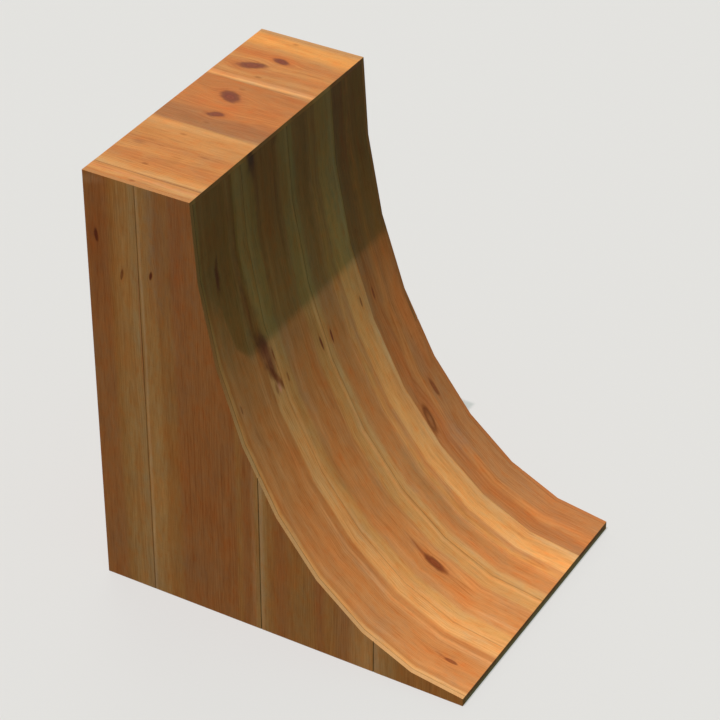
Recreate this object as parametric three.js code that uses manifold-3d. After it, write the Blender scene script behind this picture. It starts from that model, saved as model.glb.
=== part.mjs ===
// Quarter pipe skate ramp: pine boards over a timber frame with plywood ribs.
// Millimetres, +Z up. The origin is on the floor under the middle of the ramp, and riders come from -Y.
// Sizes across the ramp are measured from its left side, and sizes along it from its back.
import * as THREE from "three";
import { mergeVertices } from "three/addons/utils/BufferGeometryUtils.js";
import Module from "manifold-3d";

const wasm = await Module();
wasm.setup();

// Overall sizes
const RAMP_WIDTH = 1219;
const BASE_LENGTH = 1582;
const DECK_HEIGHT = 1840;
const DECK_DEPTH = 455;
const LIP_HEIGHT = 35;

// The riding face is a quarter of an upright ellipse, folded into flat facets.
// The ellipse is upright this far above the deck, which cuts its top off.
const CREST_ABOVE_DECK = 24;
const FACET_COUNT = 8;
const QUARTER_TURN = Math.PI / 2;

// Sheet and board thicknesses
const SIDE_THICKNESS = 18;
const BACK_THICKNESS = 12;
const RUNNING_THICKNESS = 18;
const DECK_THICKNESS = 18;
const RIB_THICKNESS = 18;

// Sawn timber, used on edge
const TIMBER_THICKNESS = 38;
const TIMBER_DEPTH = 89;

// Play left where one piece bears on another, and how far a cutter runs past what it cuts
const FIT_GAP = 0.3;
const CUT_OVERRUN = 5;

// Tongues of the boards, and the bevel that makes a V of each joint
const SIDE_JOINT = { tongueLength: 7, tongueThickness: 6, bevel: 3 };
const BACK_JOINT = { tongueLength: 6, tongueThickness: 4, bevel: 3 };
const RUNNING_JOINT = { tongueLength: 7, tongueThickness: 6, bevel: 1.5 };
const DECK_JOINT = { tongueLength: 7, tongueThickness: 6, bevel: 2 };

// Where the boards meet, as shares of the base length or of the ramp's width
const SIDE_SEAM_SHARES = [0.14, 0.447, 0.759];
const RUNNING_SEAM_SHARES = [0.273, 0.535, 0.797];
const DECK_SEAM_SHARES = [0.064, 0.377, 0.674];
const BACK_SEAM_SHARES = [0.25, 0.5, 0.75];

// Saw kerfs that let a running board fold: width of the cut, and what it leaves under the face
const KERF_WIDTH = 3;
const KERF_SKIN = 3;

// Frame layout. There is a joist under each fold, and one halfway along each of the upper, longer
// facets, counted from the deck.
const HALFWAY_JOIST_COUNT = 6;
const JOIST_FLOOR_CLEARANCE = 3;
const TOE_SILL_WIDTH = 120;
const FRONT_POST_CLEARANCE = 10;
const MIDDLE_RAIL_SHARE = 0.5;
const FLOOR_TIE_SHARES = [0.36, 0.63];

// Coach screws that hold the posts to the ribs
const SCREW = {
  shankRadius: 4,
  tipRadius: 1,
  length: 50,
  pointLength: 7,
  headRadius: 7.5,
  headHeight: 5.3,
  washerRadius: 9,
  washerThickness: 1.6,
};
const SCREW_HEIGHT_SHARES = [0.12, 0.4, 0.88];
const ROUND_SIDES = 16;
const HEX_SIDES = 6;

const MATERIALS = {
  sideBoards: { color: 0xb97c46, roughness: 0.62 },
  backBoards: { color: 0xba8049, roughness: 0.62 },
  deckBoards: { color: 0xdc9a5c, roughness: 0.55 },
  runningBoards: { color: 0xd39458, roughness: 0.5 },
  plywood: { color: 0xd7b27c, roughness: 0.7 },
  timber: { color: 0xd9b889, roughness: 0.75 },
  steel: { color: 0xa9a9a4, roughness: 0.35, metalness: 1 },
};

const X = new THREE.Vector3(1, 0, 0);
const Y = new THREE.Vector3(0, 1, 0);
const Z = new THREE.Vector3(0, 0, 1);
const LEFT_SIDE = -RAMP_WIDTH / 2;
const RIGHT_SIDE = RAMP_WIDTH / 2;
const BACK = BASE_LENGTH / 2;
const INNER_LEFT = SIDE_THICKNESS + FIT_GAP;
const INNER_RIGHT = RAMP_WIDTH - INNER_LEFT;
const RIB_INNER_LEFT = INNER_LEFT + RIB_THICKNESS + FIT_GAP;
const RIB_INNER_RIGHT = RAMP_WIDTH - RIB_INNER_LEFT;
const FRAME_BACK = BACK_THICKNESS + FIT_GAP;
const FRAME_TOP = DECK_HEIGHT - DECK_THICKNESS - FIT_GAP;
const SEAT_DEPTH = RUNNING_THICKNESS + FIT_GAP;

const ramp = new THREE.Group();

// Solids and meshes

function solidOf(geometry) {
  const bare = geometry.index ? geometry.toNonIndexed() : geometry.clone();
  bare.deleteAttribute("normal");
  bare.deleteAttribute("uv");
  const merged = mergeVertices(bare);
  const vertProperties = merged.attributes.position.array;
  const triVerts = new Uint32Array(merged.index.array);
  return new wasm.Manifold(new wasm.Mesh({ numProp: 3, vertProperties, triVerts }));
}

function geometryOf(solid) {
  const mesh = solid.getMesh();
  const geometry = new THREE.BufferGeometry();
  geometry.setAttribute("position", new THREE.BufferAttribute(mesh.vertProperties, 3));
  geometry.setIndex(new THREE.BufferAttribute(mesh.triVerts, 1));
  return geometry.toNonIndexed();
}

function add(name, geometry, material) {
  geometry.computeVertexNormals();
  const mesh = new THREE.Mesh(geometry, new THREE.MeshStandardMaterial(MATERIALS[material]));
  mesh.name = name;
  ramp.add(mesh);
  return mesh;
}

// Extrudes an outline, drawn on two axes from an origin, towards the third axis of that right-handed set.
function extrude(outline, length, origin, across, up) {
  const shape = new THREE.Shape(outline.map(([a, b]) => new THREE.Vector2(a, b)));
  const geometry = new THREE.ExtrudeGeometry(shape, { depth: length, bevelEnabled: false });
  const along = new THREE.Vector3().crossVectors(across, up);
  return geometry.applyMatrix4(new THREE.Matrix4().makeBasis(across, up, along).setPosition(origin));
}

// A piece whose outline is drawn from the side, as distance from the back and height,
// and which reaches across the ramp between two distances from its left side.
function crosswise(outline, from, to) {
  const origin = new THREE.Vector3(LEFT_SIDE + to, BACK, 0);
  return extrude(outline, to - from, origin, Y.clone().negate(), Z);
}

// A square-cut piece between two corners, each given as its distance from the left side,
// its distance from the back and its height.
function block(low, high) {
  const [width, length, height] = high.map((value, i) => value - low[i]);
  const geometry = new THREE.BoxGeometry(width, length, height);
  const x = LEFT_SIDE + (low[0] + high[0]) / 2;
  const y = BACK - (low[1] + high[1]) / 2;
  return geometry.translate(x, y, (low[2] + high[2]) / 2);
}

// The riding face, as lines in the side view

function ridingCorners() {
  const run = BASE_LENGTH - DECK_DEPTH;
  const rise = DECK_HEIGHT + CREST_ABOVE_DECK - LIP_HEIGHT;
  const corners = [new THREE.Vector2(DECK_DEPTH, DECK_HEIGHT)];
  for (let i = 1; i <= FACET_COUNT; i++) {
    const turn = (QUARTER_TURN * i) / FACET_COUNT;
    const along = DECK_DEPTH + run * (1 - Math.cos(turn));
    corners.push(new THREE.Vector2(along, LIP_HEIGHT + rise * (1 - Math.sin(turn))));
  }
  return corners;
}

const CORNERS = ridingCorners();
const FACETS = CORNERS.slice(1).map((corner, i) => {
  const direction = corner.clone().sub(CORNERS[i]).normalize();
  const inward = new THREE.Vector2(direction.y, -direction.x);
  return { start: CORNERS[i], end: corner, direction, inward };
});
const LAST_FACET = FACETS[FACETS.length - 1];

// The line that lies a depth inside a facet's face.
function lineInside(facet, depth) {
  return { point: facet.start.clone().addScaledVector(facet.inward, depth), direction: facet.direction };
}

function crossing(a, b) {
  const apart = b.point.clone().sub(a.point);
  const share = apart.cross(b.direction) / a.direction.cross(b.direction);
  return a.point.clone().addScaledVector(a.direction, share);
}

const levelAt = (height) => ({ point: new THREE.Vector2(0, height), direction: new THREE.Vector2(1, 0) });
const uprightAt = (along) => ({ point: new THREE.Vector2(along, 0), direction: new THREE.Vector2(0, 1) });

// The folded line that lies a depth inside the riding face, from a height at the top down to the front.
function layerInside(depth, topHeight) {
  const lines = FACETS.map((facet) => lineInside(facet, depth));
  const folds = lines.slice(1).map((line, i) => crossing(lines[i], line));
  const top = crossing(lines[0], levelAt(topHeight));
  const front = crossing(lines[lines.length - 1], uprightAt(BASE_LENGTH));
  return [top, ...folds, front];
}

// The whole ramp's outline in the side view.
function rampOutline() {
  const face = layerInside(0, DECK_HEIGHT).map(({ x, y }) => [x, y]);
  return [[0, 0], [BASE_LENGTH, 0], ...face.reverse(), [0, DECK_HEIGHT]];
}

// Tongued and grooved boards

// A board's cross-section, as distance across the boards and depth below their face.
// It has a groove and a bevel where it meets the board before it, and a tongue and a bevel at the next.
function boardSection(start, end, thickness, joint, meetsBefore, meetsNext) {
  const tongueTop = (thickness - joint.tongueThickness) / 2;
  const tongueFoot = tongueTop + joint.tongueThickness;
  const grooveTop = tongueTop - FIT_GAP;
  const grooveFoot = tongueFoot + FIT_GAP;
  const tongueEnd = end + joint.tongueLength;
  const grooveEnd = start + joint.tongueLength;
  const tongue = [[end, tongueTop], [tongueEnd, tongueTop], [tongueEnd, tongueFoot], [end, tongueFoot]];
  const groove = [[start, grooveFoot], [grooveEnd, grooveFoot], [grooveEnd, grooveTop], [start, grooveTop]];
  const bevelBefore = [[start, joint.bevel], [start + joint.bevel, 0]];
  const bevelNext = [[end - joint.bevel, 0], [end, joint.bevel]];
  return [
    ...(meetsNext ? [...bevelNext, ...tongue] : [[end, 0]]),
    [end, thickness],
    [start, thickness],
    ...(meetsBefore ? [...groove, ...bevelBefore] : [[start, 0]]),
  ];
}

// The cross-sections of a row of boards that fills a span, split at its seams.
function boardRow(from, to, seams, thickness, joint) {
  const edges = [from, ...seams, to];
  return edges.slice(1).map((edge, i) => {
    const meetsBefore = i > 0;
    const meetsNext = i < seams.length;
    const start = meetsBefore ? edges[i] + FIT_GAP / 2 : from;
    const end = meetsNext ? edge - FIT_GAP / 2 : to;
    return boardSection(start, end, thickness, joint, meetsBefore, meetsNext);
  });
}

// Upright boards, cut to the outline of the ramp.
function buildSide(side) {
  const atLeft = side === "left";
  const seams = SIDE_SEAM_SHARES.map((share) => share * BASE_LENGTH);
  const origin = new THREE.Vector3(atLeft ? LEFT_SIDE : RIGHT_SIDE, BACK, atLeft ? 0 : DECK_HEIGHT);
  const inward = atLeft ? X : X.clone().negate();
  const trimFrom = atLeft ? -CUT_OVERRUN : INNER_RIGHT;
  const trimWidth = SIDE_THICKNESS + CUT_OVERRUN;
  const trim = solidOf(crosswise(rampOutline(), trimFrom, trimFrom + trimWidth));
  boardRow(0, BASE_LENGTH, seams, SIDE_THICKNESS, SIDE_JOINT).forEach((section, i) => {
    const plank = extrude(section, DECK_HEIGHT, origin, Y.clone().negate(), inward);
    add(`${side}_side_board_${i + 1}`, geometryOf(solidOf(plank).intersect(trim)), "sideBoards");
  });
}

function buildBack() {
  const seams = BACK_SEAM_SHARES.map((share) => share * RAMP_WIDTH);
  const origin = new THREE.Vector3(LEFT_SIDE, BACK, FRAME_TOP);
  boardRow(INNER_LEFT, INNER_RIGHT, seams, BACK_THICKNESS, BACK_JOINT).forEach((section, i) => {
    add(`back_board_${i + 1}`, extrude(section, FRAME_TOP, origin, X, Y.clone().negate()), "backBoards");
  });
}

// Boards that run from the back to the edge of the riding face, where their ends follow its slope.
function buildDeck() {
  const seams = DECK_SEAM_SHARES.map((share) => share * RAMP_WIDTH);
  const origin = new THREE.Vector3(LEFT_SIDE, BACK, DECK_HEIGHT);
  const trim = solidOf(crosswise(rampOutline(), 0, RAMP_WIDTH));
  boardRow(INNER_LEFT, INNER_RIGHT, seams, DECK_THICKNESS, DECK_JOINT).forEach((section, i) => {
    const hung = section.map(([across, depth]) => [across, -depth]);
    const plank = extrude(hung, DECK_DEPTH + CUT_OVERRUN, origin, X, Z);
    add(`deck_board_${i + 1}`, geometryOf(solidOf(plank).intersect(trim)), "deckBoards");
  });
}

// A board whose cross-section follows the riding face from fold to fold.
function foldedBoard(section) {
  const shape = section.map(([across, depth]) => new THREE.Vector2(across, depth));
  if (THREE.ShapeUtils.isClockWise(shape)) shape.reverse();
  const paths = shape.map(({ x, y: depth }) =>
    layerInside(depth, FRAME_TOP).map((point) => [LEFT_SIDE + x, BACK - point.x, point.y]),
  );
  const sides = paths.length;
  const stations = FACET_COUNT + 1;
  const position = [];
  for (let station = 0; station < stations; station++) {
    paths.forEach((path) => position.push(...path[station]));
  }
  const index = [];
  for (let station = 0; station < stations - 1; station++) {
    for (let i = 0; i < sides; i++) {
      const a = station * sides + i;
      const b = station * sides + ((i + 1) % sides);
      index.push(a, a + sides, b, b, a + sides, b + sides);
    }
  }
  const lastStation = (stations - 1) * sides;
  THREE.ShapeUtils.triangulateShape(shape, []).forEach(([a, b, c]) => {
    index.push(a, b, c, lastStation + a, lastStation + c, lastStation + b);
  });
  const geometry = new THREE.BufferGeometry();
  geometry.setAttribute("position", new THREE.Float32BufferAttribute(position, 3));
  geometry.setIndex(index);
  return geometry;
}

// The saw kerf behind a fold, opened to a wedge by the folding.
function kerfOutline(before, after) {
  const root = crossing(lineInside(before, KERF_SKIN), lineInside(after, KERF_SKIN));
  const reach = RUNNING_THICKNESS - KERF_SKIN + CUT_OVERRUN;
  const near = root.clone().addScaledVector(before.direction, -KERF_WIDTH / 2);
  const far = root.clone().addScaledVector(after.direction, KERF_WIDTH / 2);
  const nearFoot = near.clone().addScaledVector(before.inward, reach);
  const farFoot = far.clone().addScaledVector(after.inward, reach);
  return [near, root, far, farFoot, nearFoot].map(({ x, y }) => [x, y]);
}

function buildRunningBoards() {
  const seams = RUNNING_SEAM_SHARES.map((share) => share * RAMP_WIDTH);
  const kerfs = FACETS.slice(1).map((after, i) =>
    solidOf(crosswise(kerfOutline(FACETS[i], after), -CUT_OVERRUN, RAMP_WIDTH + CUT_OVERRUN)),
  );
  const allKerfs = kerfs.reduce((joined, kerf) => joined.add(kerf));
  boardRow(INNER_LEFT, INNER_RIGHT, seams, RUNNING_THICKNESS, RUNNING_JOINT).forEach((section, i) => {
    const board = solidOf(foldedBoard(section)).subtract(allKerfs);
    add(`running_board_${i + 1}`, geometryOf(board), "runningBoards");
  });
}

// The frame

// A joist's end view: its top is planed to the facets that it carries,
// and it is ripped narrower where the floor is near.
function joistOutline(before, after, seat) {
  const inward = before.inward.clone().add(after.inward).normalize();
  const along = new THREE.Vector2(-inward.y, inward.x);
  const half = TIMBER_THICKNESS / 2;
  const lowestCorner = seat.y - Math.abs(along.y) * half;
  const room = (lowestCorner - JOIST_FLOOR_CLEARANCE) / Math.abs(inward.y);
  const depth = Math.min(TIMBER_DEPTH, room);
  const sideLine = (shift) => ({ point: seat.clone().addScaledVector(along, shift), direction: inward });
  const nearTop = crossing(lineInside(before, SEAT_DEPTH), sideLine(-half));
  const farTop = crossing(lineInside(after, SEAT_DEPTH), sideLine(half));
  const nearFoot = seat.clone().addScaledVector(along, -half).addScaledVector(inward, depth);
  const farFoot = seat.clone().addScaledVector(along, half).addScaledVector(inward, depth);
  const top = before === after ? [nearTop, farTop] : [nearTop, seat, farTop];
  return [...top, farFoot, nearFoot].map(({ x, y }) => [x, y]);
}

function buildTransitionJoists() {
  const seats = layerInside(SEAT_DEPTH, FRAME_TOP);
  const outlines = [];
  FACETS.forEach((facet, i) => {
    if (i > 0) outlines.push(joistOutline(FACETS[i - 1], facet, seats[i]));
    const halfway = seats[i].clone().lerp(seats[i + 1], 1 / 2);
    if (i < HALFWAY_JOIST_COUNT) outlines.push(joistOutline(facet, facet, halfway));
  });
  outlines.forEach((outline, i) => {
    const number = String(i + 1).padStart(2, "0");
    const joist = crosswise(outline, RIB_INNER_LEFT, RIB_INNER_RIGHT);
    add(`transition_joist_${number}`, joist, "timber");
  });
}

function buildToeSill() {
  const seatLine = lineInside(LAST_FACET, SEAT_DEPTH);
  const rear = crossing(seatLine, uprightAt(BASE_LENGTH - TOE_SILL_WIDTH));
  const front = crossing(seatLine, uprightAt(BASE_LENGTH));
  const outline = [[rear.x, 0], [front.x, 0], [front.x, front.y], [rear.x, rear.y]];
  add("toe_sill", crosswise(outline, RIB_INNER_LEFT, RIB_INNER_RIGHT), "timber");
}

const POST_TOP = FRAME_TOP - TIMBER_DEPTH - FIT_GAP;
const FRONT_POST_END = layerInside(SEAT_DEPTH, FRAME_TOP)[0].x - TIMBER_DEPTH - FRONT_POST_CLEARANCE;
const FRONT_POST_START = FRONT_POST_END - TIMBER_DEPTH;
const POST_INNER_LEFT = RIB_INNER_LEFT + TIMBER_THICKNESS + FIT_GAP;
const POST_INNER_RIGHT = RAMP_WIDTH - POST_INNER_LEFT;

function buildDeckFrame() {
  const foot = FRAME_TOP - TIMBER_DEPTH;
  const frontTop = crossing(lineInside(FACETS[0], SEAT_DEPTH), levelAt(FRAME_TOP));
  const frontFoot = crossing(lineInside(FACETS[0], SEAT_DEPTH), levelAt(foot));
  const headerBack = frontTop.x - TIMBER_THICKNESS;
  const headerFront = [[frontFoot.x, foot], [frontTop.x, FRAME_TOP]];
  const header = [[headerBack, foot], ...headerFront, [headerBack, FRAME_TOP]];
  add("deck_header", crosswise(header, RIB_INNER_LEFT, RIB_INNER_RIGHT), "timber");
  const middleStart = (FRONT_POST_START + FRONT_POST_END - TIMBER_THICKNESS) / 2;
  const starts = { deck_joist_back: FRAME_BACK, deck_joist_middle: middleStart };
  Object.entries(starts).forEach(([name, start]) => {
    const low = [RIB_INNER_LEFT, start, foot];
    const high = [RIB_INNER_RIGHT, start + TIMBER_THICKNESS, FRAME_TOP];
    add(name, block(low, high), "timber");
  });
}

// Cross pieces low down and behind, which keep the ribs upright and carry the back boards.
function buildTies() {
  const railEnd = FRAME_BACK + TIMBER_THICKNESS;
  const middleFoot = POST_TOP * MIDDLE_RAIL_SHARE - TIMBER_DEPTH / 2;
  const feet = { back_rail_bottom: 0, back_rail_middle: middleFoot };
  Object.entries(feet).forEach(([name, foot]) => {
    const low = [POST_INNER_LEFT, FRAME_BACK, foot];
    add(name, block(low, [POST_INNER_RIGHT, railEnd, foot + TIMBER_DEPTH]), "timber");
  });
  FLOOR_TIE_SHARES.forEach((share, i) => {
    const start = share * BASE_LENGTH;
    const high = [RIB_INNER_RIGHT, start + TIMBER_THICKNESS, TIMBER_DEPTH];
    add(`floor_tie_${i + 1}`, block([RIB_INNER_LEFT, start, 0], high), "timber");
  });
}

// Posts, ribs and the coach screws between them

// A round bar along the X axis, whose end towards -X may be narrower.
function roundBar(radius, length, sides, tipRadius = radius) {
  return new THREE.CylinderGeometry(tipRadius, radius, length, sides).rotateZ(QUARTER_TURN);
}

// A coach screw with its washer, its head's seat at the origin and its point towards -X.
function coachScrew() {
  const { shankRadius, tipRadius, length, pointLength } = SCREW;
  const { headRadius, headHeight, washerRadius, washerThickness } = SCREW;
  const shankLength = length - pointLength;
  const parts = [
    roundBar(shankRadius, pointLength, ROUND_SIDES, tipRadius).translate(-length + pointLength / 2, 0, 0),
    roundBar(shankRadius, shankLength, ROUND_SIDES).translate(-shankLength / 2, 0, 0),
    roundBar(washerRadius, washerThickness, ROUND_SIDES).translate(washerThickness / 2, 0, 0),
    roundBar(headRadius, headHeight, HEX_SIDES).translate(washerThickness + headHeight / 2, 0, 0),
  ];
  return parts.map(solidOf).reduce((joined, part) => joined.add(part));
}

// Every screw hole on one side, as one cutter for that side's posts and rib.
function screwHoles(places, side) {
  const length = SCREW.length + FIT_GAP + CUT_OVERRUN;
  const holes = places.map((place) => {
    const towardsHead = side === "left" ? CUT_OVERRUN : -CUT_OVERRUN;
    const reach = side === "left" ? -SCREW.length - FIT_GAP : SCREW.length + FIT_GAP;
    const bar = roundBar(SCREW.shankRadius + FIT_GAP, length, ROUND_SIDES);
    return solidOf(bar.translate(place.x + (towardsHead + reach) / 2, place.y, place.z));
  });
  return holes.reduce((joined, hole) => joined.add(hole));
}

function ribOutline() {
  const seats = layerInside(SEAT_DEPTH, FRAME_TOP).map(({ x, y }) => [x, y]);
  return [[FRAME_BACK, 0], [BASE_LENGTH, 0], ...seats.reverse(), [FRAME_BACK, FRAME_TOP]];
}

function buildRibAndPosts(side) {
  const atLeft = side === "left";
  const ribFrom = atLeft ? INNER_LEFT : RIB_INNER_RIGHT + FIT_GAP;
  const postFrom = atLeft ? RIB_INNER_LEFT : RIB_INNER_RIGHT - TIMBER_THICKNESS;
  const headFace = atLeft ? postFrom + TIMBER_THICKNESS + FIT_GAP : postFrom - FIT_GAP;
  const starts = { back: FRAME_BACK, front: FRONT_POST_START };
  const places = Object.values(starts).flatMap((start) =>
    SCREW_HEIGHT_SHARES.map((share) =>
      new THREE.Vector3(LEFT_SIDE + headFace, BACK - start - TIMBER_DEPTH / 2, share * POST_TOP),
    ),
  );
  const holes = screwHoles(places, side);
  const rib = crosswise(ribOutline(), ribFrom, ribFrom + RIB_THICKNESS);
  add(`${side}_rib`, geometryOf(solidOf(rib).subtract(holes)), "plywood");
  Object.entries(starts).forEach(([name, start]) => {
    const post = block([postFrom, start, 0], [postFrom + TIMBER_THICKNESS, start + TIMBER_DEPTH, POST_TOP]);
    add(`${side}_post_${name}`, geometryOf(solidOf(post).subtract(holes)), "timber");
  });
  places.forEach((place, i) => {
    const screw = add(`${side}_coach_screw_${i + 1}`, geometryOf(coachScrew()), "steel");
    screw.position.copy(place);
    if (!atLeft) screw.rotation.z = 2 * QUARTER_TURN;
  });
}

["left", "right"].forEach((side) => {
  buildSide(side);
  buildRibAndPosts(side);
});
buildBack();
buildDeck();
buildRunningBoards();
buildTransitionJoists();
buildToeSill();
buildDeckFrame();
buildTies();

export default ramp;
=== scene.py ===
import math

import bmesh
import bpy
from mathutils import Color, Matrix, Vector


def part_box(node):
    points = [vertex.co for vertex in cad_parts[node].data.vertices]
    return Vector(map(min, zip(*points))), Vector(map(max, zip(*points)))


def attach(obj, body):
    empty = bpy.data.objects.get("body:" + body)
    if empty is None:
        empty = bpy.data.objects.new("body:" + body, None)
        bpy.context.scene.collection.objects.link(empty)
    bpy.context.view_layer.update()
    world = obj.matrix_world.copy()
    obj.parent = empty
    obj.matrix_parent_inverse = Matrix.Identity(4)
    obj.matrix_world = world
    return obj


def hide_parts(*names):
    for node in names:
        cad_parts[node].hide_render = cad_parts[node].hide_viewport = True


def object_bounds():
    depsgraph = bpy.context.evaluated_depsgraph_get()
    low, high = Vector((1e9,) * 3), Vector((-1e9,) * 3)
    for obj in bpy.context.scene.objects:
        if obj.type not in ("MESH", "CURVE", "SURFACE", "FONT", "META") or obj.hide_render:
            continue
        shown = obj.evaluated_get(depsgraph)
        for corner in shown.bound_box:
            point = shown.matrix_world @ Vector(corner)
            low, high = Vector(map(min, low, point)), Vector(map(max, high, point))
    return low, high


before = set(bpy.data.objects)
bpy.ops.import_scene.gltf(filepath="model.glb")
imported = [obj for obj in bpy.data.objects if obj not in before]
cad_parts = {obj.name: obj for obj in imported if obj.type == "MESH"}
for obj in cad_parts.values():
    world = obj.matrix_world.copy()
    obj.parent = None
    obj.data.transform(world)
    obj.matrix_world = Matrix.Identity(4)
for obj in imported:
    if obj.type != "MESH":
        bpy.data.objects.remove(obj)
cad_low, cad_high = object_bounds()
MM = 0.001


# Ribs
# Two sheets of 18 mm plywood, sawn to the curve, stand just inside the side boards. They are
# screwed to the posts, and every joist ends at them.

def srgb(red, green, blue):
    """A colour as a paint chart gives it, from 0 to 255, turned into the linear one that shaders take."""
    return (*Color((red / 255, green / 255, blue / 255)).from_srgb_to_scene_linear(), 1.0)


class Wire:
    """A socket of a shader node. Sums of wires and numbers add the Math nodes that work them out."""

    def __init__(self, tree, socket=None):
        self.tree = tree
        self.socket = socket

    def node(self, kind, settings=None, inputs=None, output=0):
        """Adds a node by its type, its settings, and the values or wires of its inputs.

        It gives the wire of one output, which is the first one unless another is named.
        """
        node = self.tree.nodes.new("ShaderNode" + kind)
        for name, value in (settings or {}).items():
            if name == "stops":
                lay_stops(node.color_ramp.elements, value)
            elif name == "easing":
                node.color_ramp.interpolation = value
            else:
                setattr(node, name, value)
        for name, value in (inputs or {}).items():
            if isinstance(value, Wire):
                self.tree.links.new(value.socket, node.inputs[name])
            else:
                node.inputs[name].default_value = value
        return Wire(self.tree, node.outputs[output]) if node.outputs else None

    def parts(self):
        """The three numbers of this vector."""
        split = self.node("SeparateXYZ", {}, {0: self}).socket.node
        return [Wire(self.tree, socket) for socket in split.outputs]

    def math(self, operation, *values):
        """Adds a Math node by its operation and its values or wires."""
        return self.node("Math", {"operation": operation}, dict(enumerate(values)))

    def __add__(self, other):
        return self.math("ADD", self, other)

    def __radd__(self, other):
        return self.math("ADD", other, self)

    def __sub__(self, other):
        return self.math("SUBTRACT", self, other)

    def __rsub__(self, other):
        return self.math("SUBTRACT", other, self)

    def __mul__(self, other):
        return self.math("MULTIPLY", self, other)

    def __rmul__(self, other):
        return self.math("MULTIPLY", other, self)

    def __truediv__(self, other):
        return self.math("DIVIDE", self, other)

    def __rtruediv__(self, other):
        return self.math("DIVIDE", other, self)

    def __pow__(self, other):
        return self.math("POWER", self, other)

    def __abs__(self):
        return self.math("ABSOLUTE", self)

    def rise(self, low, high):
        """0 below one value, 1 above another, and a smooth step in between."""
        settings = {"interpolation_type": "SMOOTHSTEP"}
        return self.node("MapRange", settings, {"Value": self, "From Min": low, "From Max": high})

    def mix(self, other, share, blend="MIX"):
        """This colour with a share of another one laid over it."""
        settings = {"data_type": "RGBA", "blend_type": blend}
        return self.node("Mix", settings, {0: share, 6: self, 7: other}, 2)


def lay_stops(elements, stops):
    """Gives a colour ramp these stops, (position, colour), in the place of its own two."""
    elements.remove(elements[1])
    elements[0].position, elements[0].color = stops[0]
    for position, colour in stops[1:]:
        elements.new(position).color = colour


def blank(name):
    """A new finish: its material, and a wire to hang its first nodes on."""
    material = bpy.data.materials.new(name)
    material.use_nodes = True
    material.node_tree.nodes.clear()
    return material, Wire(material.node_tree)


def figure(across, along, through, detail=2.0, roughness=0.5):
    """A soft random figure of about 0.5, drawn at the scale that its three wires already have."""
    place = across.node("CombineXYZ", {}, {0: across, 1: along, 2: through})
    inputs = {"Vector": place, "Scale": 1.0, "Detail": detail, "Roughness": roughness}
    return across.node("TexNoise", {}, inputs)


def coat(tree, colour, roughness, height, relief, specular=0.12, metallic=0.0):
    """Ends a finish, from wires for colour, roughness and height, and the relief that a height of 1 has."""
    bump = tree.node("Bump", {}, {"Strength": 1.0, "Distance": relief, "Height": height})
    surface = tree.node("BsdfPrincipled", {}, {
        "Base Color": colour, "Roughness": roughness, "Normal": bump,
        "Specular IOR Level": specular, "Metallic": metallic,
    })
    tree.node("OutputMaterial", {}, {"Surface": surface})


BIRCH = srgb(221, 187, 141)
BIRCH_DARK = srgb(178, 133, 88)
GLUE_LINE = srgb(112, 74, 46)
PLIES = 7
PLY_PITCH = 18 * MM / PLIES
PLYWOOD_RELIEF = 0.2 * MM


def plywood():
    material, tree = blank("plywood")
    across, along, up = tree.node("TexCoord", {}, {}, "Object").parts()
    facing = tree.node("TexCoord", {}, {}, "Normal").parts()[0]
    veneer = figure(up * 3.0, along * 26.0, across * 3.0, 4.0)
    pores = figure(up * 60.0, along * 900.0, across * 900.0)
    sheet = tree.node("ValToRGB", {"stops": [(0.3, BIRCH_DARK), (0.62, BIRCH)]}, {0: veneer})
    sheet = sheet.mix(BIRCH_DARK, pores.rise(0.5, 0.8) * 0.35)
    ply = tree.math("PINGPONG", across / PLY_PITCH, 1.0)
    edge = sheet.mix(BIRCH_DARK, ply.rise(0.35, 0.6) * 0.55).mix(GLUE_LINE, ply.rise(0.9, 0.99) * 0.8)
    colour = edge.mix(sheet, abs(facing).rise(0.4, 0.8))
    coat(tree, colour, 0.62 + pores * 0.16, veneer + pores, PLYWOOD_RELIEF)
    return material


def dress(node, material, arris):
    """Gives a piece of the frame its finish, and eases its edges."""
    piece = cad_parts[node]
    piece.material_slots[0].material = material
    ease = piece.modifiers.new("eased edges", "BEVEL")
    ease.width = arris
    ease.segments = 2
    ease.limit_method = "ANGLE"
    piece.modifiers.new("even shading", "WEIGHTED_NORMAL").keep_sharp = True


PLYWOOD = plywood()
PLYWOOD_ARRIS = 0.3 * MM
for side in ("left", "right"):
    dress(f"{side}_rib", PLYWOOD, PLYWOOD_ARRIS)


# Posts, joists, ties, rails and toe sill
# 38 x 89 mm sawn spruce, cut square and nailed or screwed together. Its faces keep the marks of
# the band saw, and its edges are a little rounded from the mill.

SPRUCE = srgb(222, 190, 146)
SPRUCE_LATE = srgb(187, 137, 88)
SPRUCE_KNOT = srgb(122, 78, 48)
SPRUCE_RING_PITCH = 4.5 * MM
SPRUCE_RING_WANDER = 50 * MM
SPRUCE_HEART = (-110 * MM, -930 * MM)
SAW_MARK_PITCH = 6 * MM
SAW_MARK_WANDER = 10 * MM
SAWN_RELIEF = 0.35 * MM


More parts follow.
